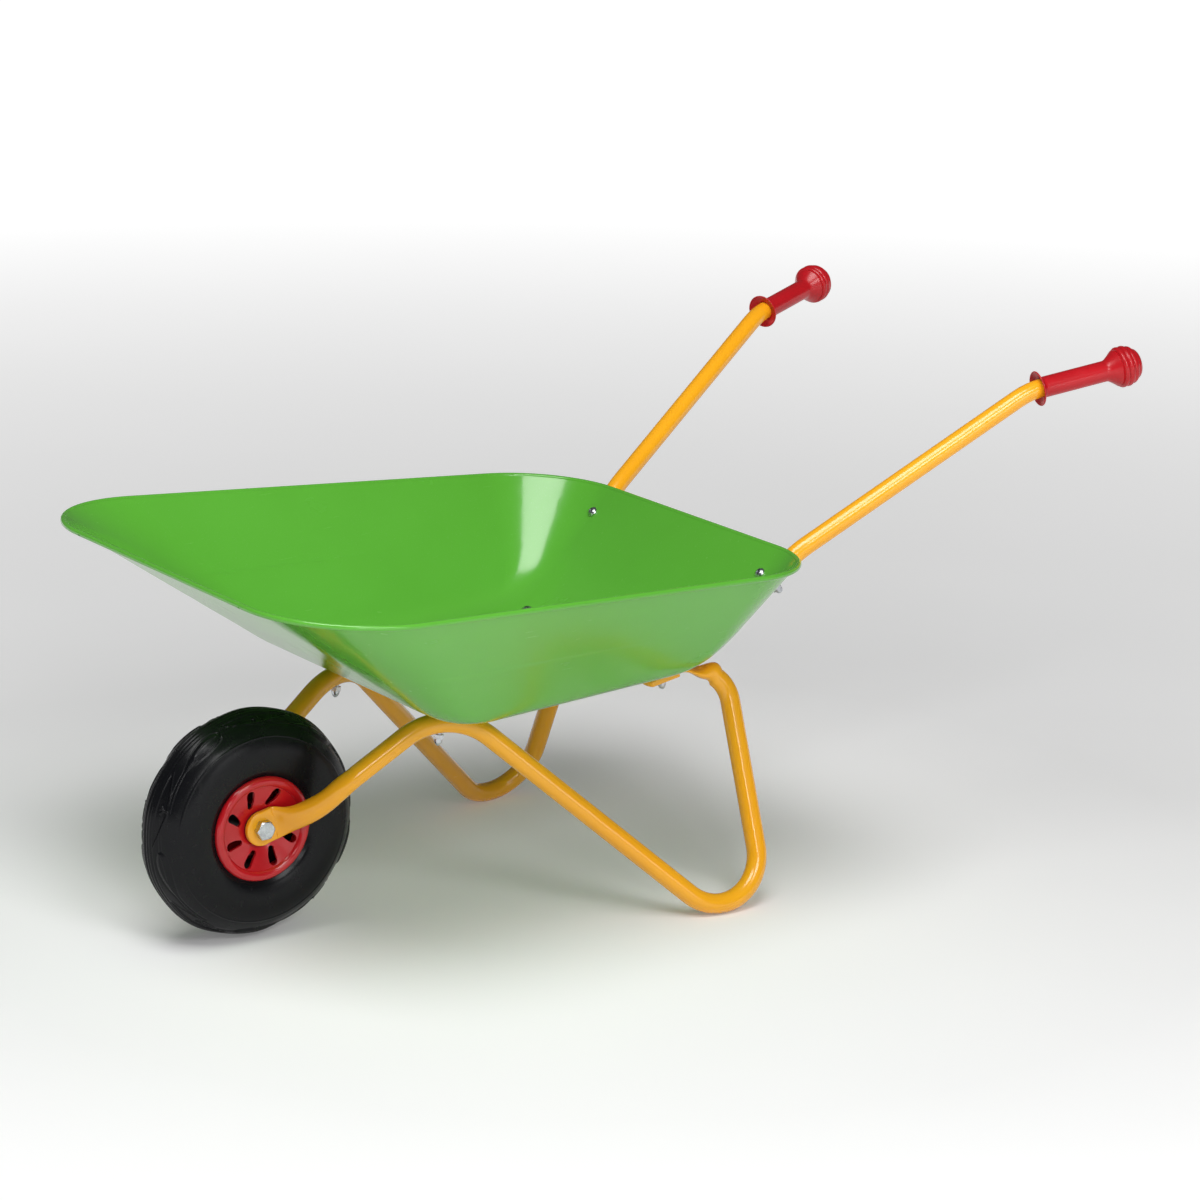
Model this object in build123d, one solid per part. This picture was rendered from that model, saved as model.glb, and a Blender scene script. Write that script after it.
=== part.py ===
from build123d import *
import os
from math import atan, cos, degrees, radians, sin, sqrt, tan

# A child's steel wheelbarrow, in millimetres.
# X points forward to the wheel, Y to the left, Z up. Each piece is drawn with X = 0 at the
# axle and is then moved so that the origin lies on the ground at mid length.
MID_LENGTH_BEHIND_AXLE = 293.0

# Wheel
TYRE_RADIUS = 85.0
TYRE_HALF_WIDTH = 25.0
TYRE_SEAT_RADIUS = 35.0
TYRE_BEAD_FACE = 20.3
TYRE_BARREL = 2.2
GROOVE_HALF_WIDTH = 1.2
GROOVE_DEPTH = 1.6
LIP_RADIUS = 38.9
LIP_CREST = 24.0
DISC_SHELL = 2.0
SPIGOT_CLEARANCE = 0.1
SPIGOT_END = 12.0
HUB_RADIUS = 11.6
HUB_FACE = 16.4
SLOT_COUNT = 8
SLOT_INNER_RADIUS = 19.2
SLOT_OUTER_RADIUS = 27.7
BUSH_BORE_RADIUS = 6.05
BUSH_RADIUS = 11.4
BUSH_FLANGE_RADIUS = 12.4
BUSH_FLANGE = 0.5
BUSH_FACE = 17.4

# Axle
SPACER_RADIUS = 6.0
SPACER_HALF_LENGTH = 17.6
WASHER_RADIUS = 10.0
WASHER_THICKNESS = 1.0
EAR_THICKNESS = 3.3
EAR_RADIUS = 12.9
M8_RADIUS = 4.0
M8_HOLE_RADIUS = 4.1
M8_ACROSS_FLATS = 13.0
M8_HEAD = 5.3
M8_LOCK_NUT = 8.0

# Tray: an underside floor plane, three wall slopes measured from it, and a rolled rim
SHEET = 1.0
FLOOR_HEIGHT = 165.5
FLOOR_STATION = -150.0
FLOOR_RISE = 0.055
RIM_FRONT_X = 71.3
RIM_REAR_X = -393.9
RIM_HEIGHT = 280.0
RIM_RISE = 0.0573
FRONT_SLOPE = 36.6
REAR_SLOPE = 48.6
SIDE_SLOPE = 55.0
FRONT_BEND = 110.0
REAR_BEND = 90.0
SIDE_BEND = 30.0
RIM_FRONT_HALF_WIDTH = 208.1
RIM_REAR_HALF_WIDTH = 173.4
RIM_CORNERS = (83.0, 74.0)
FLOOR_CORNERS = (16.0, 14.0)
RIM_BEAD_RADIUS = 2.1
RIM_BEAD_OUTWARD = 0.9
RIM_BEAD_LEVEL = 0.986
RIM_HOLE_Y = 111.6
RIM_HOLE_RADIUS = 1.0
CURVED_LEVELS = (0.0, 0.012, 0.04, 0.09, 0.16, 0.24, 0.34, 0.43, 0.5)
RIM_OVERCUT = 1.04

# Leg tube, one bent tube on each side: fork, front leg, foot and rear leg
LEG_RADIUS = 7.5
LEG_WALL = 1.2
FORK_START = Vector(-58.0, 55.3, 124.7)
LEG_TOP_FRONT = Vector(-125.4, 69.9, 170.8)
LEG_FOOT = Vector(-349.5, 176.0, -40.0)
LEG_TOP_REAR = Vector(-356.9, 93.4, 166.0)
LEG_END_DIRECTION = Vector(55.9, -8.4, 2.0)
LEG_TOP_BEND = 52.0
LEG_REAR_BEND = 26.0
BEND_KEPT_ROUND = 0.55

# Handle tube, one on each side, bent in an upright plane that opens towards the rear
HANDLE_RADIUS = 7.0
HANDLE_WALL = 1.0
HANDLE_SPLAY = 0.2867
HANDLE_RISE = 0.6307
HANDLE_STATION = Vector(-410.0, 116.3, 257.1)
HANDLE_UNDER_TRAY = (-303.5, -311.0, -319.0, -328.0, -337.0, -346.0, -355.0)
HANDLE_WALL_CORNER_X = -404.2
HANDLE_WALL_BEND = 80.0
HANDLE_GRIP_BEND = 65.0
GRIP_RISE = 10.6
GRIP_FLANGE = Vector(-588.7, 166.6, 367.1)
TUBE_IN_GRIP = 52.0

# Flattened tube ends
FLAT_THICKNESS = 5.2
FLAT_WIDTH = 19.5
FLAT_TIP = 11.0

# Grip, measured along its axis from the flange face
GRIP_BORE_RADIUS = 7.15
GRIP_BORE_DEPTH = 55.0
GRIP_BARREL_RADIUS = 8.0
GRIP_FLANGE_RADIUS = 13.3
GRIP_FLANGE_DEPTH = 4.0
GRIP_BARREL_END = 56.8
GRIP_LENGTH = 86.0

# M4 tray fasteners
M4_RADIUS = 2.0
M4_HOLE_RADIUS = 2.1
M4_HEAD_RADIUS = 4.1
M4_HEAD = 2.7
CAP_NUT_ACROSS_FLATS = 7.0
CAP_NUT_HEX = 3.2
CAP_NUT_HEIGHT = 8.6
HEAD_LIFT = 0.15
FRONT_BOLT = (-120.7, 69.4)
REAR_BOLT = (-301.0, 85.0)
WALL_BOLT = (-377.6, 106.5)

BOTH_SIDES = {"left": 1, "right": -1}


def floor_height(x):
    """Height of the floor's underside."""
    return FLOOR_HEIGHT + FLOOR_RISE * (FLOOR_STATION - x)


def rim_height(x):
    return RIM_HEIGHT + RIM_RISE * x


def to_side(part, side):
    """A part drawn for the left, or its mirror image for the right."""
    return part if side > 0 else mirror(part, about=Plane.XZ)


def turned(profile):
    """Turn a closed profile of (radius, along Y) points about the axle."""
    face = Plane.XY * make_face(profile)
    solid = revolve(face, axis=Axis.Y)
    return Pos(0, 0, TYRE_RADIUS) * solid


# ---------------------------------------------------------------- wheel


def tyre():
    """A blow-moulded tyre: one closed hollow ring with a flat seat and one centre groove."""
    shoulder = [
        (39.5, TYRE_BEAD_FACE),
        (44.0, 22.9),
        (52.0, 24.7),
        (60.0, TYRE_HALF_WIDTH),
        (69.0, 22.3),
        (77.0, 16.2),
        (82.6, 8.4),
        (TYRE_RADIUS, GROOVE_HALF_WIDTH),
    ]
    barrel = TYRE_SEAT_RADIUS + TYRE_BARREL
    hollow = [(barrel, 16.0), (40.6, 17.4), (47.0, 20.6), (57.0, 21.9)]
    hollow += [(66.0, 19.6), (73.5, 14.0), (78.6, 7.4), (80.8, 0.0)]
    groove = (TYRE_RADIUS - GROOVE_DEPTH, 0.0)
    outer = Spline(*shoulder, tangents=[(1, 0.25), (0.02, -1)])
    inner = Spline(*hollow, tangents=[(1, 0.1), (0, -1)])
    half = [
        outer,
        Line(shoulder[-1], groove),
        Line(groove, hollow[-1]),
        inner,
        Polyline(hollow[0], (barrel, 0.0), (TYRE_SEAT_RADIUS, 0.0)),
        Polyline((TYRE_SEAT_RADIUS, 0.0), (TYRE_SEAT_RADIUS, TYRE_BEAD_FACE), shoulder[0]),
    ]
    left = turned(half)
    return left + mirror(left, about=Plane.XZ)


def disc_slot(angle):
    """One slot of the disc, wider outside, bent a little like a comma."""
    middle_radius = (SLOT_INNER_RADIUS + SLOT_OUTER_RADIUS) / 2
    stops = [(SLOT_INNER_RADIUS, -4, 2.2), (middle_radius, 1, 3.0), (SLOT_OUTER_RADIUS, 3, 3.3)]
    cutter = Sketch()
    dots = []
    for radius, lean, size in stops:
        turn = radians(angle + lean)
        dots.append(Pos(radius * cos(turn), radius * sin(turn)) * Circle(size))
    for near, far in zip(dots, dots[1:]):
        cutter += make_hull([near.edges()[0], far.edges()[0]])
    tall = 2 * TYRE_RADIUS
    return Pos(0, 0, TYRE_RADIUS) * extrude(Plane.XZ * cutter, -tall)


def rim_half():
    """Left cover of the wheel: a sloping disc with slots, a rounded lip and a short spigot."""
    spigot = TYRE_SEAT_RADIUS - SPIGOT_CLEARANCE
    lip_start = (31.5, 21.4)
    crest = (35.2, LIP_CREST)
    lip_edge = (LIP_RADIUS, 21.3)
    seat = TYRE_BEAD_FACE + SPIGOT_CLEARANCE
    profile = [
        Line((HUB_RADIUS, HUB_FACE), lip_start),
        ThreePointArc(lip_start, (33.1, 23.3), crest),
        ThreePointArc(crest, (37.7, 23.2), lip_edge),
        Polyline(
            lip_edge,
            (LIP_RADIUS, seat),
            (spigot, seat),
            (spigot, SPIGOT_END),
            (spigot - DISC_SHELL, SPIGOT_END),
            (spigot - DISC_SHELL, lip_start[1] - DISC_SHELL),
            (HUB_RADIUS, HUB_FACE - DISC_SHELL),
            (HUB_RADIUS, HUB_FACE),
        ),
    ]
    half = turned(profile)
    for index in range(SLOT_COUNT):
        half -= disc_slot((index + 0.5) * 360 / SLOT_COUNT)
    return half


def hub_bush():
    """Half of the wheel's hub: a flanged plastic bush that turns on the spacer tube."""
    profile = Polyline(
        (BUSH_BORE_RADIUS, 0.05),
        (BUSH_BORE_RADIUS, BUSH_FACE),
        (BUSH_FLANGE_RADIUS, BUSH_FACE),
        (BUSH_FLANGE_RADIUS, BUSH_FACE - BUSH_FLANGE),
        (BUSH_RADIUS, BUSH_FACE - BUSH_FLANGE),
        (BUSH_RADIUS, 0.05),
        close=True,
    )
    return turned(profile)


# ---------------------------------------------------------------- axle

EAR_INNER = SPACER_HALF_LENGTH + WASHER_THICKNESS
EAR_OUTER = EAR_INNER + EAR_THICKNESS
EAR_MIDDLE = EAR_INNER + EAR_THICKNESS / 2


def across(radius, start, end):
    """A cylinder about the axle, from start to end along Y."""
    shape = Plane.XZ.offset(-start) * Circle(radius)
    return Pos(0, 0, TYRE_RADIUS) * extrude(shape, start - end)


def hexagon(across_flats, start, end):
    shape = Plane.XZ.offset(-start) * RegularPolygon(across_flats / 2, 6, major_radius=False)
    return Pos(0, 0, TYRE_RADIUS) * extrude(shape, start - end)


def axle_spacer_tube():
    outer = across(SPACER_RADIUS, -SPACER_HALF_LENGTH, SPACER_HALF_LENGTH)
    return outer - across(M8_HOLE_RADIUS, -SPACER_HALF_LENGTH, SPACER_HALF_LENGTH)


def axle_washer():
    outer = across(WASHER_RADIUS, SPACER_HALF_LENGTH, EAR_INNER)
    return outer - across(M8_HOLE_RADIUS, SPACER_HALF_LENGTH, EAR_INNER)


def chamfered_hexagon(across_flats, start, end):
    """A hexagon whose outer corners are turned off at 30 degrees, as on a bolt head."""
    body = hexagon(across_flats, start, end)
    sign = 1 if end > start else -1
    tall = abs(end - start)
    wide = across_flats
    cone_profile = Polyline(
        (0, start - sign),
        (wide, start - sign),
        (wide, start + sign * (tall - 0.5 * wide * tan(radians(30)))),
        (0.47 * wide, end),
        (0, end),
        close=True,
    )
    return body & turned(cone_profile)


def axle_bolt():
    head = chamfered_hexagon(M8_ACROSS_FLATS, EAR_OUTER, EAR_OUTER + M8_HEAD)
    end = -(EAR_OUTER + M8_LOCK_NUT + 1.5)
    shank = across(M8_RADIUS, end, EAR_OUTER)
    rounded = shank.edges().sort_by(Axis.Y)[0]
    return head + chamfer(rounded, 0.8)


def axle_lock_nut():
    face = EAR_OUTER + M8_LOCK_NUT
    body = chamfered_hexagon(M8_ACROSS_FLATS, -EAR_OUTER, -(face - 1.8))
    collar = across(0.42 * M8_ACROSS_FLATS, -face, -(face - 2.2))
    return body + collar - across(M8_RADIUS + 0.05, -face - 1, -EAR_OUTER + 1)


# ---------------------------------------------------------------- tray


def reach(height, bend, slope, inset):
    """How far the wall stands outside its sharp foot at a height above the floor plane."""
    radius = bend - inset
    centre = -bend * tan(radians(slope) / 2)
    drop = bend - height
    if drop >= radius * cos(radians(slope)):
        return centre + sqrt(max(radius**2 - drop**2, 0))
    return height / tan(radians(slope)) - inset / sin(radians(slope))


FRONT_DEPTH = rim_height(RIM_FRONT_X) - floor_height(RIM_FRONT_X)
REAR_DEPTH = rim_height(RIM_REAR_X) - floor_height(RIM_REAR_X)
FRONT_FOOT = RIM_FRONT_X - reach(FRONT_DEPTH, FRONT_BEND, FRONT_SLOPE, 0)
REAR_FOOT = RIM_REAR_X + reach(REAR_DEPTH, REAR_BEND, REAR_SLOPE, 0)
SIDE_FOOT_FRONT = RIM_FRONT_HALF_WIDTH - reach(FRONT_DEPTH, SIDE_BEND, SIDE_SLOPE, 0)
SIDE_FOOT_REAR = RIM_REAR_HALF_WIDTH - reach(REAR_DEPTH, SIDE_BEND, SIDE_SLOPE, 0)


def tray_outline(level, inset):
    """The tray's outline at a level from 0, the floor, to 1, the rim, inset by a sheet's part."""
    front_height = inset + (FRONT_DEPTH - inset) * level
    rear_height = inset + (REAR_DEPTH - inset) * level
    front = FRONT_FOOT + reach(front_height, FRONT_BEND, FRONT_SLOPE, inset)
    rear = REAR_FOOT - reach(rear_height, REAR_BEND, REAR_SLOPE, inset)
    front_half = SIDE_FOOT_FRONT + reach(front_height, SIDE_BEND, SIDE_SLOPE, inset)
    rear_half = SIDE_FOOT_REAR + reach(rear_height, SIDE_BEND, SIDE_SLOPE, inset)
    front_corner, rear_corner = (
        low + (high - low) * level - 1.4 * inset for low, high in zip(FLOOR_CORNERS, RIM_CORNERS)
    )
    front_z = floor_height(front) + front_height
    rear_z = floor_height(rear) + rear_height
    corners = [
        (front, -front_half, front_z),
        (front, front_half, front_z),
        (rear, rear_half, rear_z),
        (rear, -rear_half, rear_z),
    ]
    radii = [front_corner, front_corner, rear_corner, rear_corner]
    return FilletPolyline(*corners, radius=radii, close=True)


def tray_block(inset, top):
    """The solid inside the tray's outer or inner surface: a curved foot under straight walls."""
    foot = [make_face(tray_outline(level, inset).edges()) for level in CURVED_LEVELS]
    rim = make_face(tray_outline(top, inset).edges())
    return loft(foot) + loft([foot[-1], rim], ruled=True)


def rim_bead():
    """The sheet's edge, rolled outward round the whole rim."""
    path = tray_outline(RIM_BEAD_LEVEL, -RIM_BEAD_OUTWARD).wire()
    section = Plane(origin=path @ 0, z_dir=path % 0) * Circle(RIM_BEAD_RADIUS)
    return sweep(section, path=path)


OUTER_BLOCK = tray_block(0, 1.0)
INNER_BLOCK = tray_block(SHEET, RIM_OVERCUT)


def on_surface(block, x, y):
    """The lowest point of a tray surface above (x, y), and its upward normal there."""
    hits = block.find_intersection_points(Axis((x, y, 0), (0, 0, 1)))
    point, normal = min(hits, key=lambda hit: hit[0].Z)
    return point, normal if normal.Z > 0 else normal * -1


def bolt_frame(x, y):
    """A left bolt's frame: its origin under the head on the pan, Z along the pan's normal."""
    point, normal = on_surface(INNER_BLOCK, x, y)
    return Plane(origin=point + normal * HEAD_LIFT, z_dir=normal)


BOLTS = {
    "front_floor": bolt_frame(*FRONT_BOLT),
    "rear_floor": bolt_frame(*REAR_BOLT),
    "rear_wall": bolt_frame(*WALL_BOLT),
}
# Depth from under the head to the nut's seat: sheet, then the tubes that it clamps
CLAMPED = {
    "front_floor": SHEET + 2 * LEG_RADIUS + 2.4,
    "rear_floor": SHEET + 2 * FLAT_THICKNESS + 1.1,
    "rear_wall": SHEET + 2 * HANDLE_RADIUS + 3.0,
}


def bolt_hole(frame, radius=M4_HOLE_RADIUS, depth=60.0):
    """A cutter along a bolt's axis, on both sides of the barrow."""
    cutter = frame * Pos(0, 0, -depth / 2) * Cylinder(radius, depth + 10)
    return [cutter, mirror(cutter, about=Plane.XZ)]


def tray():
    pan = OUTER_BLOCK - INNER_BLOCK
    pan += rim_bead()
    for frame in BOLTS.values():
        pan -= bolt_hole(frame, depth=8.0)
    x = RIM_FRONT_X + RIM_BEAD_RADIUS
    for y in (-RIM_HOLE_Y, RIM_HOLE_Y):
        spot = Plane((x - 1.6, y, rim_height(x) - 2.6), z_dir=(1, 0, -0.6))
        pan -= spot * Cylinder(RIM_HOLE_RADIUS, 3.0)
    return pan


# ---------------------------------------------------------------- tubes


def oval(centre, along, width, thickness, upright=(0, 0, 1)):
    """An oval section across a tube; its width lies across the thin direction."""
    along = Vector(*along).normalized()
    wide = along.cross(Vector(*upright)).normalized()
    frame = Plane(origin=centre, x_dir=wide, z_dir=along)
    return frame * Ellipse(width / 2, thickness / 2)


def round_tube(path, radius, wall):
    """A hollow tube of round section along a path."""
    start = Plane(origin=path @ 0, z_dir=path % 0)
    return sweep(start * (Circle(radius) - Circle(radius - wall)), path=path)


def foot_bend_radius():
    """The radius that makes the foot's bend just touch the ground."""
    down = (LEG_FOOT - LEG_TOP_FRONT).normalized()
    up = (LEG_TOP_REAR - LEG_FOOT).normalized()
    half = radians(180 - down.get_angle(up)) / 2
    inward = (up - down).normalized()
    flat = down.cross(up).normalized()
    lift = inward.Z / sin(half) - sqrt(1 - flat.Z**2)
    return (LEG_RADIUS - LEG_FOOT.Z) / lift


def ear():
    """The flattened fork end: a round-ended plate that swells and bends out into the tube."""
    plate = Plane.XZ.offset(-EAR_INNER) * (
        Circle(EAR_RADIUS) + Rot(0, 0, 166) * Pos(5.0, 0) * Rectangle(10.6, 2 * EAR_RADIUS - 0.6)
    )
    plate = extrude(plate, -EAR_THICKNESS)
    plate = fillet(plate.edges().group_by(Axis.Y)[-1], 1.2)
    fork = (LEG_TOP_FRONT - FORK_START).normalized()
    stops = [
        ((-9.9, EAR_MIDDLE, 87.4), (-0.97, 0.05, 0.24), 25.2, 3.25),
        ((-14.2, EAR_MIDDLE + 1.7, 88.5), (-0.88, 0.40, 0.25), 23.2, 5.4),
        ((-19.5, 26.4, 90.4), (-0.74, 0.60, 0.30), 19.6, 9.4),
        ((-27.0, 33.6, 95.0), (-0.64, 0.61, 0.46), 18.0, 13.2),
        ((-35.2, 41.4, 102.0), (-0.60, 0.56, 0.57), 17.0, 14.2),
        ((-44.0, 49.0, 112.0), (-0.62, 0.46, 0.64), 15.8, 14.6),
        ((-51.5, 53.3, 119.7), (-0.72, 0.30, 0.62), 15.2, 14.9),
        (FORK_START, fork, 2 * LEG_RADIUS, 2 * LEG_RADIUS),
    ]
    ovals = [oval(c, d, w, t, upright=(0.25, 1, 0)) for c, d, w, t in stops]
    return Pos(0, 0, TYRE_RADIUS) * plate + loft(ovals)


def flat_end(frame, along, depth, width):
    """A flattened tube end with a rounded tip, lying square to its bolt below the tray."""
    side = frame.z_dir.cross(along).normalized()
    frame = Plane(
        origin=below_bolt(frame, depth),
        x_dir=side.cross(frame.z_dir),
        z_dir=frame.z_dir,
    )
    outline = Rectangle(2 * FLAT_TIP, width) + Pos(FLAT_TIP, 0) * Ellipse(4, width / 2)
    plate = extrude(outline, FLAT_THICKNESS / 2, both=True)
    return frame * fillet(plate.edges().filter_by(GeomType.LINE, reverse=True), 1.4)


def below_bolt(frame, depth):
    """A point on a bolt's axis, this far below its head's seat."""
    return frame.origin - frame.z_dir * depth


def leg_path():
    """Centre line of the leg tube from the fork to the end of its last bend, edge by edge."""
    end = LEG_TOP_REAR + LEG_END_DIRECTION.normalized() * (LEG_REAR_BEND + 1.0)
    return FilletPolyline(
        FORK_START,
        LEG_TOP_FRONT,
        LEG_FOOT,
        LEG_TOP_REAR,
        end,
        radius=[LEG_TOP_BEND, foot_bend_radius(), LEG_REAR_BEND],
    ).edges()


def rear_leg_end(frame, bend, depth):
    """The leg's end, squashed from the round within its last bend to a flat under the tray."""
    forward = frame.z_dir.cross(Vector(0, -1, 0)).normalized()
    forward = Vector(forward.X, -0.15, forward.Z).normalized()
    seat = below_bolt(frame, depth)
    lift = Vector(0.0, 0.0, 1.0)
    full = 2 * LEG_RADIUS
    stops = [
        (bend @ BEND_KEPT_ROUND, bend % BEND_KEPT_ROUND, full, full),
        (bend @ 0.78 + lift * 0.6, bend % 0.80, 16.4, 12.0),
        (bend @ 1.0 - lift * 0.4, bend % 1.0, 18.2, 7.0),
        (seat - forward * 19 - lift * 1.1, forward, FLAT_WIDTH + 0.5, 5.3),
        (seat - forward * 9, forward, FLAT_WIDTH + 1, FLAT_THICKNESS),
        (seat - forward * 2, forward, FLAT_WIDTH + 1, FLAT_THICKNESS - 0.4),
    ]
    swage = loft([oval(*stop) for stop in stops])
    return swage + flat_end(frame, forward, depth, FLAT_WIDTH + 1.5)


def leg_tube():
    frame = BOLTS["rear_floor"]
    *straights, bend, _ = leg_path()
    path = Wire([*straights, bend.trim(0, BEND_KEPT_ROUND)])
    tube = round_tube(path, LEG_RADIUS, LEG_WALL) + ear()
    tube += rear_leg_end(frame, bend, SHEET + 1.5 * FLAT_THICKNESS + 0.6)
    tube -= bolt_hole(frame)[0]
    tube -= bolt_hole(BOLTS["front_floor"])[0]
    return tube - across(M8_HOLE_RADIUS, EAR_INNER - 1, EAR_OUTER + 3)


def on_handle_plane(x, z):
    station = HANDLE_STATION
    return Vector(x, station.Y + HANDLE_SPLAY * (station.X - x), z)


def handle_corners():
    """Where the straight stretches of the handle's centre line would meet."""
    station = HANDLE_STATION
    wall_x = HANDLE_WALL_CORNER_X
    wall_z = station.Z + HANDLE_RISE * (station.X - wall_x)
    grip_rise = tan(radians(GRIP_RISE)) * sqrt(1 + HANDLE_SPLAY**2)
    grip_x = (
        GRIP_FLANGE.Z + grip_rise * GRIP_FLANGE.X - station.Z - HANDLE_RISE * station.X
    ) / (grip_rise - HANDLE_RISE)
    grip_z = station.Z + HANDLE_RISE * (station.X - grip_x)
    return on_handle_plane(wall_x, wall_z), on_handle_plane(grip_x, grip_z)


def grip_direction():
    level = sqrt(1 + HANDLE_SPLAY**2)
    return Vector(-1, HANDLE_SPLAY, tan(radians(GRIP_RISE)) * level).normalized()


def grip_origin():
    corner = handle_corners()[-1]
    return corner + grip_direction() * ((corner - GRIP_FLANGE).length)


def under_tray(x, thickness):
    """A point of the handle's centre line where it lies against the tray's underside."""
    y = on_handle_plane(x, 0).Y
    point, normal = on_surface(OUTER_BLOCK, x, y)
    level = Vector(normal.X, 0, normal.Z).normalized()
    return point - level * (thickness / 2 + 0.15)


def handle_tube():
    wall_corner, grip_corner = handle_corners()
    frame = BOLTS["rear_floor"]
    depth = SHEET + 0.5 * FLAT_THICKNESS + 0.3
    end = grip_origin() + grip_direction() * TUBE_IN_GRIP
    full = 2 * HANDLE_RADIUS
    sizes = [(FLAT_WIDTH, 4.8), (FLAT_WIDTH, 5.2), (18.6, 7.4), (17.0, 10.4), (15.6, 12.8)]
    sizes += [(full, full)] * 2
    centres = [under_tray(x, size[1]) for x, size in zip(HANDLE_UNDER_TRAY, sizes)]
    low = centres[-1]
    path = FilletPolyline(
        low,
        wall_corner,
        grip_corner,
        end,
        radius=[HANDLE_WALL_BEND, HANDLE_GRIP_BEND],
    )
    ahead = centres[1:] + [wall_corner]
    behind = [below_bolt(frame, depth)] + centres[:-1]
    headings = [(far - near).normalized() for far, near in zip(ahead, behind)]
    headings[-1] = (wall_corner - low).normalized()
    ovals = [oval(c, h, w, t) for c, h, (w, t) in zip(centres, headings, sizes)]
    tube = round_tube(path, HANDLE_RADIUS, HANDLE_WALL) + loft(ovals)
    tube += flat_end(frame, centres[0] - centres[2], depth, FLAT_WIDTH)
    tube -= bolt_hole(frame)[0]
    return tube - bolt_hole(BOLTS["rear_wall"], depth=40)[0]


# ---------------------------------------------------------------- grips


def grip():
    """A soft sleeve with a flared mouth, ending in a ringed knob."""
    barrel = GRIP_BARREL_RADIUS
    mouth = [
        Line((GRIP_BORE_RADIUS, GRIP_BORE_DEPTH), (GRIP_BORE_RADIUS, 3.0)),
        Line((GRIP_BORE_RADIUS, 3.0), (GRIP_FLANGE_RADIUS - 1.0, 0.6)),
        ThreePointArc(
            (GRIP_FLANGE_RADIUS - 1.0, 0.6),
            (GRIP_FLANGE_RADIUS - 0.2, 0.1),
            (GRIP_FLANGE_RADIUS, 0.9),
        ),
        Spline(
            (GRIP_FLANGE_RADIUS, 0.9),
            (10.4, 2.6),
            (barrel, GRIP_FLANGE_DEPTH + 1.5),
            tangents=[(-0.9, 0.3), (0, 1)],
        ),
    ]
    rings = [(3.2, 9.6), (6.4, 11.9), (8.9, 13.9)]
    knob = [(barrel, GRIP_BARREL_END - 1.0)]
    knob += [(radius, GRIP_BARREL_END + along) for along, radius in rings]
    ring_edges = [(10.0, 13.5), (11.8, 15.5), (14.3, 14.6), (16.6, 15.6), (19.0, 14.2)]
    ring_edges += [(21.0, 14.3), (23.2, 12.0)]
    bumps = [(radius, GRIP_BARREL_END + along) for along, radius in ring_edges]
    dome_start = (11.9, GRIP_BARREL_END + 24.2)
    tip = (0.0, GRIP_LENGTH)
    skin = [
        Line((barrel, GRIP_FLANGE_DEPTH + 1.5), knob[0]),
        Spline(*knob, tangents=[(0, 1), (0.6, 0.8)]),
        Line(knob[-1], bumps[0]),
        ThreePointArc(bumps[0], bumps[1], bumps[2]),
        ThreePointArc(bumps[2], bumps[3], bumps[4]),
        ThreePointArc(bumps[4], bumps[5], bumps[6]),
        Line(bumps[6], dome_start),
        Spline(dome_start, (7.0, GRIP_LENGTH - 1.2), tip, tangents=[(-0.4, 1), (-1, 0)]),
        Line(tip, (0.0, GRIP_BORE_DEPTH)),
        Line((0.0, GRIP_BORE_DEPTH), (GRIP_BORE_RADIUS, GRIP_BORE_DEPTH)),
    ]
    face = Plane.XZ * make_face(mouth + skin)
    sleeve = revolve(face, axis=Axis.Z)
    return Plane(origin=grip_origin(), z_dir=grip_direction()) * sleeve


# ---------------------------------------------------------------- tray fasteners


def pan_screw(length):
    """A pan-head screw with a cross recess; its head stands on Z = 0."""
    profile = [
        Line((0, -length), (M4_RADIUS, -length)),
        Line((M4_RADIUS, -length), (M4_RADIUS, 0)),
        Line((M4_RADIUS, 0), (M4_HEAD_RADIUS, 0)),
        Line((M4_HEAD_RADIUS, 0), (M4_HEAD_RADIUS, 0.9)),
        ThreePointArc((M4_HEAD_RADIUS, 0.9), (0.72 * M4_HEAD_RADIUS, 2.2), (0, M4_HEAD)),
        Line((0, M4_HEAD), (0, -length)),
    ]
    screw = revolve(Plane.XZ * make_face(profile), axis=Axis.Z)
    for turn in (0, 90):
        screw -= Rot(0, 0, turn) * Pos(0, 0, M4_HEAD) * Box(4.4, 0.9, 3.0)
    return screw


def cap_nut():
    """A hexagon nut closed by a long dome; its seat is Z = 0 and its dome points to -Z."""
    hexagonal = extrude(RegularPolygon(CAP_NUT_ACROSS_FLATS / 2, 6, major_radius=False), -CAP_NUT_HEX)
    dome_radius = 0.45 * CAP_NUT_ACROSS_FLATS
    profile = [
        Line((0, 0), (dome_radius, 0)),
        Line((dome_radius, 0), (dome_radius, -CAP_NUT_HEX - 0.6)),
        Spline(
            (dome_radius, -CAP_NUT_HEX - 0.6),
            (0.7 * dome_radius, -0.8 * CAP_NUT_HEIGHT),
            (0, -CAP_NUT_HEIGHT),
            tangents=[(-0.05, -1), (-1, -0.35)],
        ),
        Line((0, -CAP_NUT_HEIGHT), (0, 0)),
    ]
    dome = revolve(Plane.XZ * make_face(profile), axis=Axis.Z)
    return hexagonal + dome - Pos(0, 0, -2.2) * Cylinder(M4_RADIUS + 0.05, 5.2)


def pair_of(part):
    """The left part and its mirror image, as two separate solids."""
    return Compound(children=[part, mirror(part, about=Plane.XZ)])


def screws(place):
    return pair_of(BOLTS[place] * pan_screw(CLAMPED[place] + 4.0))


def cap_nuts(place):
    return pair_of(BOLTS[place] * Pos(0, 0, -CLAMPED[place]) * cap_nut())


# ---------------------------------------------------------------- assembly


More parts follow.
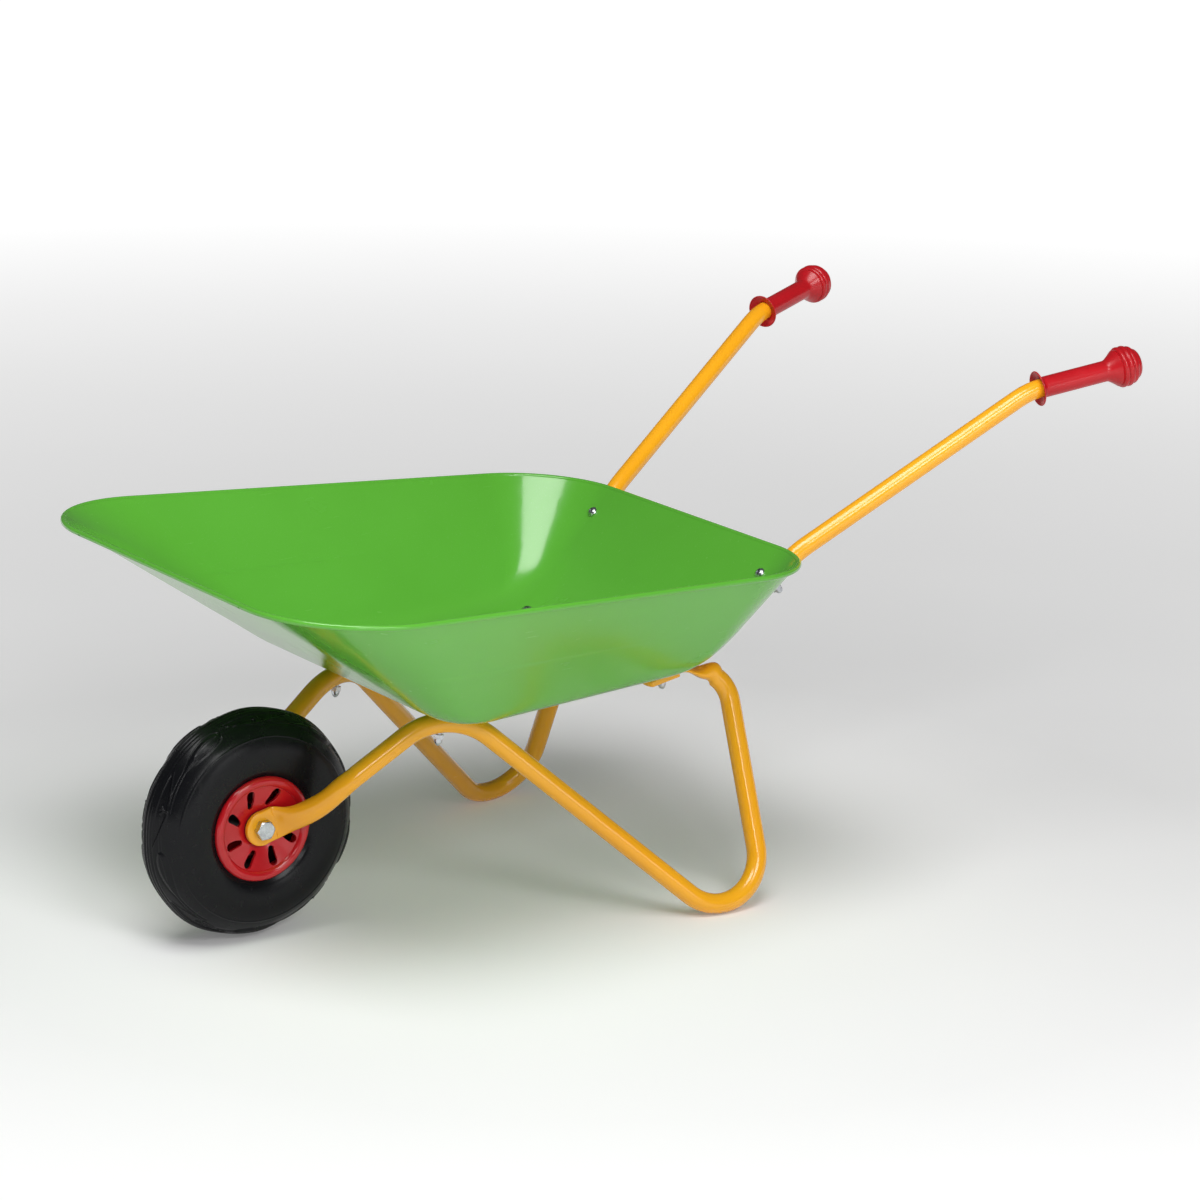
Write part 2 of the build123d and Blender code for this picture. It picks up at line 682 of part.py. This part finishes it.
def pieces():
    """Every piece of the wheelbarrow by name."""
    made = {
        "tray": tray(),
        "tyre": tyre(),
        "axle_bolt": axle_bolt(),
        "axle_lock_nut": axle_lock_nut(),
        "axle_spacer_tube": axle_spacer_tube(),
    }
    drawn_left = {
        "handle_tube": handle_tube(),
        "leg_tube": leg_tube(),
        "grip": grip(),
        "rim_half": rim_half(),
        "hub_bush": hub_bush(),
        "axle_washer": axle_washer(),
    }
    for name, part in drawn_left.items():
        for side_name, side in BOTH_SIDES.items():
            made[f"{side_name}_{name}"] = to_side(part, side)
    for place in BOLTS:
        made[f"{place}_screws"] = screws(place)
        made[f"{place}_cap_nuts"] = cap_nuts(place)
    return made


os.makedirs("parts", exist_ok=True)
for name, part in pieces().items():
    export_step(Pos(MID_LENGTH_BEHIND_AXLE, 0, 0) * part, f"parts/{name}.step")
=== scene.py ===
# %% [markdown]
# # A child's steel wheelbarrow
# The shapes, sizes and joints were settled in CAD and packed as a fixed frame. This lesson gives
# that frame its looks: gloss paint on the tray and the tubes, moulded plastic on the grips and
# the rim, zinc plate on the fasteners, and a blow-moulded tyre with its raised tread.
# The frame is loaded first, because every piece takes its place and its size from it.

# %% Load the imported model
from math import cos, radians, sin

import bpy
import numpy as np
from mathutils import Matrix, Vector


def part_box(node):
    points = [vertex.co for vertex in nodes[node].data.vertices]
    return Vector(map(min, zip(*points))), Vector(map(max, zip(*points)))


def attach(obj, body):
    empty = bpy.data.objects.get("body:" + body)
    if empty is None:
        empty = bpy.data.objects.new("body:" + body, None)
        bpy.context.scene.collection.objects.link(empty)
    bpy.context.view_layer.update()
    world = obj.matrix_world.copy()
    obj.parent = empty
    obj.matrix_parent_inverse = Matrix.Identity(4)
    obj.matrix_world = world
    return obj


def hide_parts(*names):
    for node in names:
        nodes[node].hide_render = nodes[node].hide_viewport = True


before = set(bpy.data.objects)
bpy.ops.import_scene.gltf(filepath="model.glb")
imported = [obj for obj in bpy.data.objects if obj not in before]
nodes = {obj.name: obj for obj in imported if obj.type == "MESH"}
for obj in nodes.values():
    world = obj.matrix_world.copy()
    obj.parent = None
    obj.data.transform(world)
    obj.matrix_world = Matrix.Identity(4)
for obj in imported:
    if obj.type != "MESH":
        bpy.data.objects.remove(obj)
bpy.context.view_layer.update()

MM = 0.001

# %% [markdown]
# ## The camera
# The barrow is looked at from its left front, from about the height of a standing child's eyes.
# A long lens from three metres away keeps the tray's edges nearly parallel. The camera could be
# aimed with a constraint, but three explicit axes make the small tilt of the picture exact.

# %% Camera
CAMERA_TARGET = Vector((-0.0158, 0.0, 0.2038))
CAMERA_DISTANCE = 2.9357
CAMERA_AZIMUTH = radians(53.985)
CAMERA_ELEVATION = radians(15.679)
CAMERA_ROLL = radians(1.156)
LENS_MM = 116.75


def camera_axes():
    """The camera's right, up and backward directions."""
    level = cos(CAMERA_ELEVATION)
    back = Vector((level * cos(CAMERA_AZIMUTH), level * sin(CAMERA_AZIMUTH), sin(CAMERA_ELEVATION)))
    right = back.cross(Vector((0, 0, -1))).normalized()
    up = back.cross(right)
    tilted_right = right * cos(CAMERA_ROLL) + up * sin(CAMERA_ROLL)
    return tilted_right, back.cross(tilted_right), back


right, up, back = camera_axes()
camera = bpy.data.objects.new("camera", bpy.data.cameras.new("camera"))
camera.data.lens = LENS_MM
camera.data.clip_end = 60.0
camera.matrix_world = Matrix.Translation(CAMERA_TARGET + back * CAMERA_DISTANCE) @ (
    Matrix((right, up, back)).transposed().to_4x4()
)
bpy.context.scene.collection.objects.link(camera)
bpy.context.scene.camera = camera
bpy.context.scene.view_settings.view_transform = "Standard"
print("camera stands at", [round(value, 3) for value in camera.matrix_world.translation])

# %% [markdown]
# ## Shader sums
# A finish needs a lot of small sums, such as 0.2 + 0.1 * noise. Written as nodes and links they
# are hard to read. The class below wraps the output of a node, so that ordinary operators add
# the Math nodes. Every other node comes from one method that first sets the node up and then
# fills in or links its inputs.

# %% Signals and finishes
MIX_A = 6
MIX_B = 7
MIX_COLOUR = 2


class Signal:
    """The output of a shader node, which can be added, subtracted and multiplied."""

    def __init__(self, finish, socket):
        self.finish = finish
        self.socket = socket

    def maths(self, operation, first, second):
        return self.finish.node("ShaderNodeMath", {"operation": operation}, {0: first, 1: second})

    def __add__(self, other):
        return self.maths("ADD", self, other)

    __radd__ = __add__

    def __sub__(self, other):
        return self.maths("SUBTRACT", self, other)

    def __rsub__(self, other):
        return self.maths("SUBTRACT", other, self)

    def __mul__(self, other):
        return self.maths("MULTIPLY", self, other)

    __rmul__ = __mul__


class Finish:
    """A procedural material, built up node by node."""

    def __init__(self, name):
        self.material = bpy.data.materials.new(name)
        self.material.use_nodes = True
        self.tree = self.material.node_tree
        self.tree.nodes.clear()

    def node(self, kind, settings=None, inputs=None, output=0):
        """Add a node, set it up, fill its inputs and give one of its outputs."""
        node = self.tree.nodes.new(kind)
        for name, value in (settings or {}).items():
            if name == "stops":
                self.place_stops(node.color_ramp, value)
            else:
                setattr(node, name, value)
        for name, value in (inputs or {}).items():
            if isinstance(value, Signal):
                self.tree.links.new(value.socket, node.inputs[name])
            else:
                node.inputs[name].default_value = value
        return Signal(self, node.outputs[output])

    def place_stops(self, ramp, stops):
        """Two stops of a ramp: (position, grey) pairs."""
        for element, (position, grey) in zip(ramp.elements, stops):
            element.position = position
            element.color = (grey, grey, grey, 1)

    def noise(self, scale, detail=2.0, stretch=(1, 1, 1)):
        """Noise with this many features to the metre, drawn out along an axis if asked."""
        place = self.node("ShaderNodeTexCoord", output="Object")
        spread = self.node("ShaderNodeMapping", inputs={"Vector": place, "Scale": stretch})
        inputs = {"Vector": spread, "Scale": scale, "Detail": detail}
        return self.node("ShaderNodeTexNoise", inputs=inputs)

    def between(self, signal, low, high):
        """0 below low and 1 above high, with a soft step between."""
        stops = [(low, 0.0), (high, 1.0)]
        return self.node("ShaderNodeValToRGB", {"stops": stops}, {"Fac": signal})

    def height_above(self, level, span):
        """0 at this height in the frame and below, and 1 a span higher."""
        place = self.node("ShaderNodeTexCoord", output="Object")
        height = self.node("ShaderNodeSeparateXYZ", inputs={"Vector": place}, output="Z")
        settings = {"interpolation_type": "SMOOTHSTEP"}
        inputs = {"Value": height, "From Min": level, "From Max": level + span}
        return self.node("ShaderNodeMapRange", settings, inputs)

    def blend(self, factor, first, second):
        """A mix of two colours."""
        settings = {"data_type": "RGBA", "blend_type": "MIX"}
        inputs = {0: factor, MIX_A: first, MIX_B: second}
        return self.node("ShaderNodeMix", settings, inputs, output=MIX_COLOUR)

    def bump(self, height, depth, strength=1.0):
        """A normal from a height signal of 0 to 1 that stands for this depth in millimetres."""
        inputs = {"Strength": strength, "Distance": depth * MM, "Height": height}
        return self.node("ShaderNodeBump", inputs=inputs)

    def surface(self, **inputs):
        """The Principled shader and the output; colour_name stands for the socket Colour Name."""
        sockets = {name.replace("_", " ").title(): value for name, value in inputs.items()}
        sockets = {name.replace("Ior", "IOR"): value for name, value in sockets.items()}
        shader = self.node("ShaderNodeBsdfPrincipled", inputs=sockets)
        self.node_output(shader)
        return self.material

    def node_output(self, shader):
        output = self.tree.nodes.new("ShaderNodeOutputMaterial")
        self.tree.links.new(shader.socket, output.inputs["Surface"])


def paint(finish, *names):
    """Give a finish to these CAD nodes."""
    for name in names:
        for slot in nodes[name].material_slots:
            slot.material = finish
    print(f"{finish.name}: {', '.join(names)}")


def both(name):
    """The left and the right node of a pair."""
    return f"left_{name}", f"right_{name}"


# %% [markdown]
# ## Gloss paint on sheet and tube
# The real coat is powder sprayed on and melted in an oven. It is smooth but never flat: it
# levels into low waves a few millimetres long, known as orange peel. A clear coat over a
# rougher base gives soft reflections without paling the colour beneath. Handling leaves faint
# rubbed patches and hairlines, which dull both layers a little, and the barrow's feet get
# scuffed where they meet the ground.

# %% Powder coat
SCUFF_GREY = (0.30, 0.27, 0.22, 1)
FOOT_LEVEL = 0.001
FOOT_SPAN = 0.004


def powder_coat(name, colour, deep_colour, peel_scale, peel_depth):
    """Gloss powder coat with orange peel, soft cloudiness and rubbed patches."""
    finish = Finish(name)
    clouds = finish.between(finish.noise(7.0, detail=3.0), 0.35, 0.7)
    specks = finish.between(finish.noise(1900.0, detail=1.0), 0.70, 0.80)
    rubbed = finish.between(finish.noise(16.0, detail=6.0, stretch=(1, 2.2, 1.4)), 0.56, 0.74)
    hairlines = finish.between(finish.noise(55.0, detail=4.0, stretch=(0.5, 9, 6)), 0.69, 0.74)
    peel = finish.noise(peel_scale, detail=1.0)
    near_ground = 1 - finish.height_above(FOOT_LEVEL, FOOT_SPAN)
    scuffs = near_ground * finish.between(finish.noise(420.0, detail=5.0), 0.46, 0.58)
    shade = finish.blend(clouds, colour, deep_colour)
    shade = finish.blend(specks * 0.12, shade, (0.85, 0.85, 0.8, 1))
    return finish.surface(
        base_color=finish.blend(scuffs * 0.75, shade, SCUFF_GREY),
        roughness=0.24 + rubbed * 0.05 + hairlines * 0.06 + scuffs * 0.3,
        coat_weight=0.6 - rubbed * 0.1 - hairlines * 0.15 - scuffs * 0.5,
        coat_roughness=0.13,
        specular_ior_level=0.3,
        normal=finish.bump(peel, peel_depth),
    )


green_coat = powder_coat("tray_paint", (0.108, 0.425, 0.038, 1), (0.098, 0.395, 0.032, 1), 260.0, 0.03)
yellow_coat = powder_coat("tube_paint", (0.94, 0.43, 0.012, 1), (0.90, 0.39, 0.009, 1), 330.0, 0.012)
paint(green_coat, "tray")
paint(yellow_coat, *both("leg_tube"), *both("handle_tube"))

# %% [markdown]
# ## Moulded plastic
# The grips are soft vinyl with a dull sheen, the rim is hard gloss plastic, and the bushes are
# plain black nylon. Real mouldings show faint flow marks and a very fine grain from the mould,
# so each gets its own noise at its own scale in both roughness and bump.

# %% Grips, rim and bushes


def moulded(name, colour, deep_colour, roughness, grain_scale, grain_depth, coat):
    """Injection-moulded plastic with flow marks and a fine mould grain."""
    finish = Finish(name)
    flow = finish.between(finish.noise(38.0, detail=2.0, stretch=(1, 1, 2.5)), 0.35, 0.72)
    grain = finish.noise(grain_scale, detail=3.0)
    handled = finish.between(finish.noise(90.0, detail=6.0), 0.58, 0.70)
    return finish.surface(
        base_color=finish.blend(flow, colour, deep_colour),
        roughness=roughness + flow * 0.05 + handled * 0.07,
        coat_weight=coat - handled * 0.5 * coat,
        coat_roughness=0.06,
        specular_ior_level=0.35,
        normal=finish.bump(grain, grain_depth),
    )


red_vinyl = moulded(
    "grip_plastic", (0.49, 0.008, 0.014, 1), (0.43, 0.006, 0.011, 1), 0.28, 1500.0, 0.012, 0.15
)
red_gloss = moulded(
    "rim_plastic", (0.52, 0.008, 0.014, 1), (0.46, 0.006, 0.011, 1), 0.18, 700.0, 0.005, 0.4
)
black_nylon = moulded(
    "bush_plastic", (0.020, 0.020, 0.021, 1), (0.014, 0.014, 0.015, 1), 0.38, 1800.0, 0.02, 0.0
)
paint(red_vinyl, *both("grip"))
paint(red_gloss, *both("rim_half"))
paint(black_nylon, *both("hub_bush"))

# %% [markdown]
# ## Zinc plate
# Screws, nuts, washers and the axle are bright zinc on steel. The plate is never a mirror: it
# has a fine crystal grain and cloudy patches, and a few darker spots where a spanner has been.

# %% Zinc


def zinc_plate(name):
    finish = Finish(name)
    clouds = finish.between(finish.noise(260.0, detail=4.0), 0.38, 0.66)
    grain = finish.noise(2600.0, detail=3.0)
    marks = finish.between(finish.noise(650.0, detail=5.0, stretch=(1, 1, 5)), 0.62, 0.72)
    bright = finish.blend(clouds, (0.62, 0.64, 0.67, 1), (0.48, 0.50, 0.53, 1))
    return finish.surface(
        base_color=finish.blend(marks * 0.5, bright, (0.42, 0.43, 0.45, 1)),
        metallic=1.0,
        roughness=0.22 + clouds * 0.10 + marks * 0.14,
        normal=finish.bump(grain, 0.015),
    )


fasteners = [f"{place}_{kind}" for place in ("front_floor", "rear_floor", "rear_wall")
             for kind in ("screws", "cap_nuts")]
paint(
    zinc_plate("zinc"),
    "axle_bolt", "axle_lock_nut", "axle_spacer_tube", *both("axle_washer"), *fasteners,
)

# %% [markdown]
# ## The tyre
# The tyre is a hollow moulding, blown into a two-part mould. Its crown is parted by a groove on
# the mould's joint and by finer rings, and its shoulders carry a pattern that repeats every
# fifth of a turn: a shallow pocket with a small three-armed mark in it, then a raised drop.
# A fine ring runs round each wall. All of this is real relief, so it is built as geometry: one
# section is drawn, carried round the axle in small steps, and pushed in or out along its own
# normal by the height of the pattern there. It replaces the CAD tyre in the visual model only;
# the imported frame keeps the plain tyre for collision.

# %% The tyre's section
low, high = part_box("tyre")
AXLE = (low + high) / 2
TYRE_RADIUS = (high.z - low.z) / 2 / MM
REPEATS = 5
TURN_STEPS = 900
SKIN_STEPS = 250
WALL = [(39.5, 20.3), (44.0, 22.8), (52.0, 24.5), (60.0, 24.75), (69.0, 22.1), (77.0, 15.9)]
WALL += [(82.2, 8.2), (84.2, 3.0), (84.45, 0.0)]
SEAT = [(35.3, 20.3), (35.05, 20.1), (35.05, 0.0)]


def smooth_path(points, steps):
    """Points spaced evenly along a smooth curve through the given ones."""
    points = np.array(points, float)
    inner = (points[2:] - points[:-2]) / 2
    ends = (points[1] - points[0], points[-1] - points[-2])
    tangents = np.vstack([ends[0], inner, ends[1]])
    spans = []
    fine = np.linspace(0, 1, 60, endpoint=False)[:, None]
    for here, there, leave, arrive in zip(points, points[1:], tangents, tangents[1:]):
        spans.append(
            here * (2 * fine**3 - 3 * fine**2 + 1)
            + there * (3 * fine**2 - 2 * fine**3)
            + leave * (fine**3 - 2 * fine**2 + fine)
            + arrive * (fine**3 - fine**2)
        )
    curve = np.vstack(spans + [points[-1:]])
    along = np.concatenate([[0], np.cumsum(np.linalg.norm(np.diff(curve, axis=0), axis=1))])
    stops = np.linspace(0, along[-1], steps)
    return np.column_stack([np.interp(stops, along, curve[:, axis]) for axis in (0, 1)])


def mirrored(half):
    """A half section, from the left bead to the crown, and its mirror image."""
    return np.vstack([half, half[-2::-1] * (1, -1)])


skin = mirrored(smooth_path(WALL, SKIN_STEPS // 2))
print(f"{len(skin)} points across the tyre's skin")

# %% [markdown]
# ### The relief
# Each feature is a height in millimetres over the skin, as a function of the angle round the
# wheel, the distance out from the middle plane, and the radius. Ridges and grooves are narrow
# bell curves. Pockets and drops are soft steps of a distance to their outline.

# %% Relief of the tread
FIRST_MARK = radians(18)
CROWN_EDGE = 7.0
POCKET_WIDTH = 7.6
POCKET_HALF_ANGLE = radians(23)
DROP_MIDDLE = 13.6
DROP_HALF_WIDTH = 3.3
DROP_HALF_LENGTH = 19.0
WALL_RING_RADIUS = 69.0
MARK_MIDDLE = 12.0
MARK_ARM = 3.2
CROWN_FROM_RADIUS = 60.0
GROOVE_DEPTH = 1.6
CROWN_RINGS = ((3.6, 0.6), (6.4, 0.55))
POCKET_DEPTH = 1.1
POCKET_LIP = 0.5
DROP_HEIGHT = 0.6
DROP_MOAT = 0.5
DROP_RIDGE = 0.4
MARK_HEIGHT = 0.9
WALL_RING_HEIGHT = 0.45
FLAT_DEPTH = 0.7


def bell(distance, width):
    return np.exp(-((distance / width) ** 2))


def step(distance, width):
    """0 for a distance well below 0 and 1 well above it."""
    return 0.5 + 0.5 * np.tanh(distance / width)


def offset_from(angle, first):
    """The angle to the nearest repeat of a feature, in radians."""
    period = 2 * np.pi / REPEATS
    return (angle - first + period / 2) % period - period / 2


def pocket(angle, out):
    """How far inside a pocket's outline a point lies."""
    turn = np.clip(offset_from(angle, FIRST_MARK) / POCKET_HALF_ANGLE, -1, 1)
    edge = CROWN_EDGE + POCKET_WIDTH * np.cos(turn * np.pi / 2) ** 1.3
    return np.minimum(out - CROWN_EDGE, edge - out), edge


def drop(angle, out, radius):
    """How far inside a drop's outline a point lies; the drop is round ahead and pointed behind."""
    along = offset_from(angle, FIRST_MARK + np.pi / REPEATS) * radius / DROP_HALF_LENGTH
    share = np.clip((along + 1) / 2, 0, 1)
    width = DROP_HALF_WIDTH * 1.62 * share**1.15 * np.sqrt(1 - share)
    middle = DROP_MIDDLE - 1.0 * along
    return 1.6 * width - np.abs(out - middle)


def three_arms(angle, out, radius):
    """A small mark of three arms in the middle of each pocket."""
    along = offset_from(angle, FIRST_MARK) * radius
    across = out - MARK_MIDDLE
    arms = np.zeros_like(along)
    for turn in (90, 210, 330):
        ahead = along * cos(radians(turn)) + across * sin(radians(turn))
        aside = -along * sin(radians(turn)) + across * cos(radians(turn))
        arms = np.maximum(arms, bell(aside, 0.45) * step(ahead, 0.3) * step(MARK_ARM - ahead, 0.3))
    return arms


def crown_height(angle, side, radius):
    """Height of the tread's own pattern: groove, rings, pockets, drops and marks."""
    out = np.abs(side)
    height = -GROOVE_DEPTH * bell(side, 0.75)
    for place, depth in CROWN_RINGS:
        height = height - depth * bell(out - place, 0.4)
    inside, edge = pocket(angle, out)
    height = height - POCKET_DEPTH * step(inside - 0.5, 0.22)
    height += POCKET_LIP * bell(out - edge - 0.5, 0.45) * step(edge - CROWN_EDGE - 1.2, 0.5)
    within = drop(angle, out, radius)
    height += DROP_HEIGHT * step(within - 0.4, 0.22) - DROP_MOAT * bell(within + 0.9, 0.4)
    height += DROP_RIDGE * bell(within - 1.8, 0.35)
    return height + MARK_HEIGHT * three_arms(angle, out, radius)


def relief(angle, side, radius):
    """Height of the whole pattern over the smooth skin, in millimetres."""
    on_wall = np.abs(side) > 15
    wall_ring = WALL_RING_HEIGHT * bell(radius - WALL_RING_RADIUS, 0.42) * on_wall
    waves = 0.5 - 0.5 * np.cos(REPEATS * 2 * (angle - FIRST_MARK))
    flats = -FLAT_DEPTH * waves * step(radius - 74, 4)
    crown = np.where(radius > CROWN_FROM_RADIUS, crown_height(angle, side, radius), 0.0)
    return crown + wall_ring + flats


# %% [markdown]
# ### Carrying the section round
# The skin and the plain seat inside it make one closed ring, so the tyre is a solid thing with no
# open edge. NumPy works out all the points at once, which is far quicker than a loop over faces.

# %% Build the tyre


def outward(section):
    """Unit normals of the skin, away from the tyre's hollow."""
    along = np.gradient(section, axis=0)
    normal = np.column_stack([along[:, 1], -along[:, 0]])
    normal /= np.linalg.norm(normal, axis=1)[:, None]
    return normal * np.sign(normal[len(section) // 2, 0])


def ring_mesh(name, radius, side, angle):
    """A closed mesh from grids of radius and sideways position for each angle."""
    x = AXLE.x + radius * np.cos(angle) * MM
    z = AXLE.z + radius * np.sin(angle) * MM
    points = np.stack([x, AXLE.y + side * MM, z], axis=-1).reshape(-1, 3)
    turns, count = radius.shape
    rows = np.arange(turns)[:, None] * count
    columns = np.arange(count)[None, :]
    next_rows = np.roll(rows, -1, axis=0)
    next_columns = np.roll(columns, -1, axis=1)
    corners = [rows + columns, rows + next_columns, next_rows + next_columns, next_rows + columns]
    faces = np.stack(np.broadcast_arrays(*corners), axis=-1).reshape(-1, 4)
    mesh = bpy.data.meshes.new(name)
    mesh.from_pydata(points.tolist(), [], faces.tolist())
    mesh.shade_smooth()
    return mesh


def build_tyre():
    angle = np.linspace(0, 2 * np.pi, TURN_STEPS, endpoint=False)[:, None]
    normal = outward(skin)
    height = relief(angle, skin[None, :, 1], skin[None, :, 0])
    radius = np.minimum(skin[None, :, 0] + height * normal[None, :, 0], TYRE_RADIUS)
    side = skin[None, :, 1] + height * normal[None, :, 1]
    seat = mirrored(np.array(SEAT))[::-1]
    plain = np.ones_like(angle)
    radius = np.hstack([radius, plain * seat[None, :, 0]])
    side = np.hstack([side, plain * seat[None, :, 1]])
    mesh = ring_mesh("moulded_tyre", radius, side, angle)
    tyre = bpy.data.objects.new("moulded_tyre", mesh)
    bpy.context.scene.collection.objects.link(tyre)
    return tyre


moulded_tyre = build_tyre()
print(f"tyre mesh of {len(moulded_tyre.data.vertices)} points")

# %% [markdown]
# The tyre's plastic is nearly black with a satin skin. The mould leaves a fine grain, and a
# trace of dust dulls it in places.

# %% The tyre's finish


def tyre_skin(name):
    finish = Finish(name)
    clouds = finish.between(finish.noise(24.0, detail=4.0), 0.36, 0.68)
    grain = finish.noise(1400.0, detail=4.0)
    dust = finish.between(finish.noise(140.0, detail=7.0), 0.60, 0.78)
    shade = finish.blend(clouds, (0.0040, 0.0042, 0.0055, 1), (0.0056, 0.0058, 0.0070, 1))
    return finish.surface(
        base_color=finish.blend(dust * 0.02, shade, (0.30, 0.28, 0.25, 1)),
        roughness=0.24 + clouds * 0.05 + dust * 0.08,
        specular_ior_level=0.2,
        normal=finish.bump(grain, 0.02),
    )


moulded_tyre.data.materials.append(tyre_skin("tyre_rubber"))
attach(moulded_tyre, "wheel")
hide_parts("tyre")

# %% [markdown]
# ## Floor and light
# A pale seamless floor and soft light show a painted product best. One large softbox hangs
# overhead and gives most of the light. Three smaller ones stand to the left: a high one for the
# tubes, a low one that the wheel's disc mirrors, and one in front for the tyre's shoulder.
# The floor glows faintly near the barrow and fully further out, so the ground behind stays white
# without lighting the barrow from below. The room itself is dim, which keeps the tyre black.

# %% Studio


NEAR_GLOW = (0.13, 0.13, 0.13, 1)
FAR_GLOW = (1.0, 1.0, 1.0, 1)
GLOW_FROM = 0.5
GLOW_TO = 3.2
FLOOR_HALF_SIZE = 30.0
ROOM_STRENGTH = 0.08
# Name, place, point aimed at, width and height in metres, and power in watts
SOFTBOXES = (
    ("overhead_box", (0.75, 0.55, 2.1), (0, 0, 0.2), (1.5, 1.0), 38.0),
    ("left_box", (0.25, 1.9, 1.45), (0, 0, 0.2), (0.8, 0.6), 14.0),
    ("low_box", (-0.35, 2.6, 0.52), (0.1, 0, 0.2), (0.6, 0.6), 4.0),
    ("front_box", (1.35, 2.9, 1.25), (0.1, 0, 0.2), (0.4, 0.6), 9.0),
)


def floor_finish():
    finish = Finish("floor_paper")
    fibres = finish.noise(900.0, detail=3.0)
    mottle = finish.between(finish.noise(3.0), 0.3, 0.7)
    place = finish.node("ShaderNodeTexCoord", output="Object")
    distance = finish.node("ShaderNodeVectorMath", {"operation": "LENGTH"}, {0: place}, "Value")
    reach = {"Value": distance, "From Min": GLOW_FROM, "From Max": GLOW_TO}
    return finish.surface(
        base_color=finish.blend(mottle, (0.80, 0.80, 0.80, 1), (0.78, 0.78, 0.78, 1)),
        roughness=0.85,
        normal=finish.bump(fibres, 0.02),
        emission_color=finish.blend(
            finish.node("ShaderNodeMapRange", inputs=reach), NEAR_GLOW, FAR_GLOW
        ),
        emission_strength=1.0,
    )


def make_floor(half_size):
    mesh = bpy.data.meshes.new("floor")
    corners = [(x * half_size, y * half_size, 0) for x, y in ((-1, -1), (1, -1), (1, 1), (-1, 1))]
    mesh.from_pydata(corners, [], [(0, 1, 2, 3)])
    floor = bpy.data.objects.new("floor", mesh)
    bpy.context.scene.collection.objects.link(floor)
    mesh.materials.append(floor_finish())
    return floor


def softbox(name, place, aim, size, power):
    """A rectangular area light, aimed at a point."""
    light = bpy.data.lights.new(name, "AREA")
    light.shape = "RECTANGLE"
    light.size, light.size_y = size
    light.energy = power
    lamp = bpy.data.objects.new(name, light)
    lamp.location = place
    lamp.rotation_euler = (Vector(aim) - Vector(place)).to_track_quat("-Z", "Y").to_euler()
    bpy.context.scene.collection.objects.link(lamp)
    return lamp


make_floor(FLOOR_HALF_SIZE)
for box in SOFTBOXES:
    softbox(*box)
print(f"floor and {len(SOFTBOXES)} softboxes")
room = bpy.data.worlds.new("room")
room.use_nodes = True
room.node_tree.nodes["Background"].inputs["Color"].default_value = (1, 1, 1, 1)
room.node_tree.nodes["Background"].inputs["Strength"].default_value = ROOM_STRENGTH
bpy.context.scene.world = room
